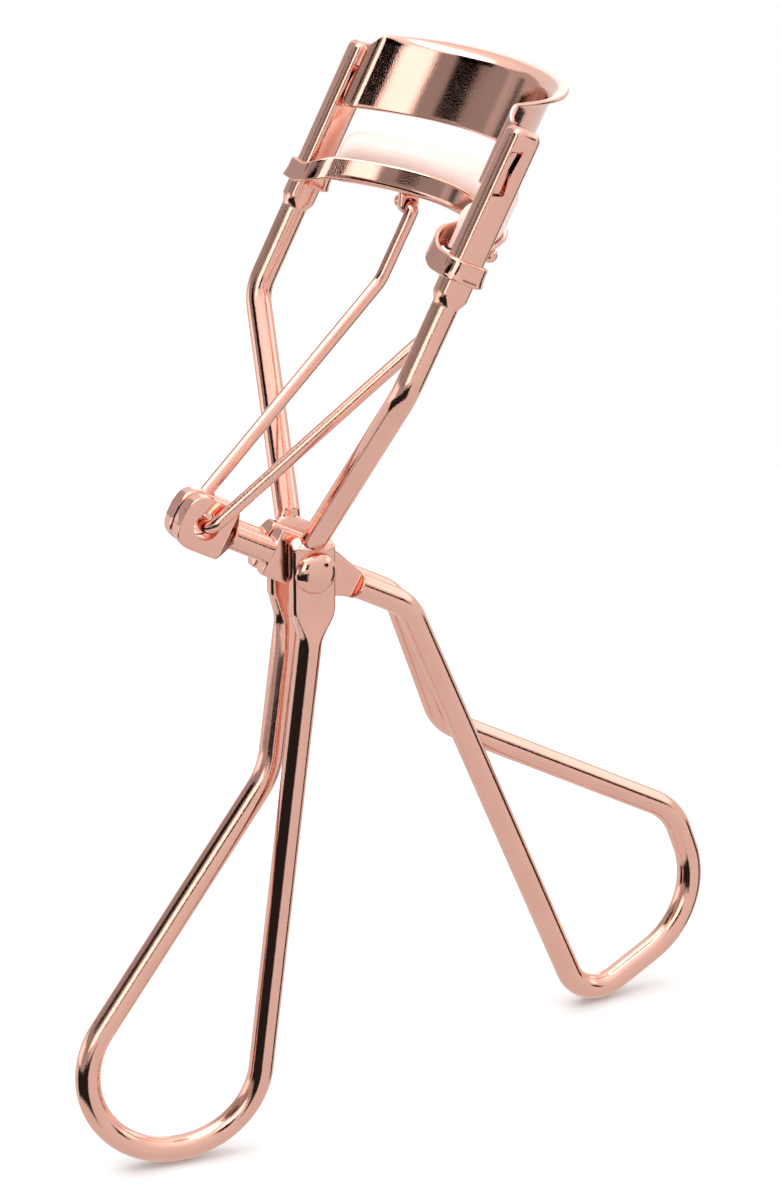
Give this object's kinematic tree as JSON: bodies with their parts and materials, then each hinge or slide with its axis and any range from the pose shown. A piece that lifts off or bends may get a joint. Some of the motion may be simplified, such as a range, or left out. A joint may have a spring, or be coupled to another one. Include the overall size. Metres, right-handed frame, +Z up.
{
  "type": "eyelash curler",
  "caption": "Polished bent-wire eyelash curler: scissor finger loops work a link that slides a padded lower jaw up twin rails to a curved upper jaw.",
  "frame": {"origin": "centre of the frame's finger loop, on the middle plane", "axes": "+X along the rivet and across the jaws, +Y the way the jaws bulge, away from the eye, +Z up from the finger loops to the jaws"},
  "size_m": [0.0344, 0.0629, 0.0978],
  "materials": {
    "rose_gold_plate": "polished",
    "silicone": "satin"
  },
  "bodies": {
    "frame": {"frame_wire": "rose_gold_plate", "upper_jaw": "rose_gold_plate", "pivot_rivet": "rose_gold_plate"},
    "lever": {"lever_wire": "rose_gold_plate"},
    "lower_jaw_body": {"lower_jaw": "rose_gold_plate", "silicone_pad": "silicone", "link_lug_near": "rose_gold_plate", "link_lug_far": "rose_gold_plate"},
    "link": {"link_wire": "rose_gold_plate"}
  },
  "joints": [
    {"name": "lever_pivot", "type": "hinge", "parent": "frame", "child": "lever", "pos_m": [0, 0.0129, 0.0471], "axis": [-1, 0, 0], "range_deg": [-12, 8.7]},
    {"name": "jaw_slide", "type": "slide", "parent": "frame", "child": "lower_jaw_body", "axis": [0, 0.454, 0.891], "range_m": [-0.0025, 0.0027]},
    {"name": "link_swing", "type": "hinge", "parent": "lower_jaw_body", "child": "link", "pos_m": [0, 0.02654, 0.07533], "axis": [-1, 0, 0], "range_deg": [-2, 2]}
  ],
  "couplings": [
    {"joint": "jaw_slide", "follows": "lever_pivot", "m_per_rad": 0.010563},
    {"joint": "link_swing", "follows": "lever_pivot", "ratio": -0.00208}
  ]
}
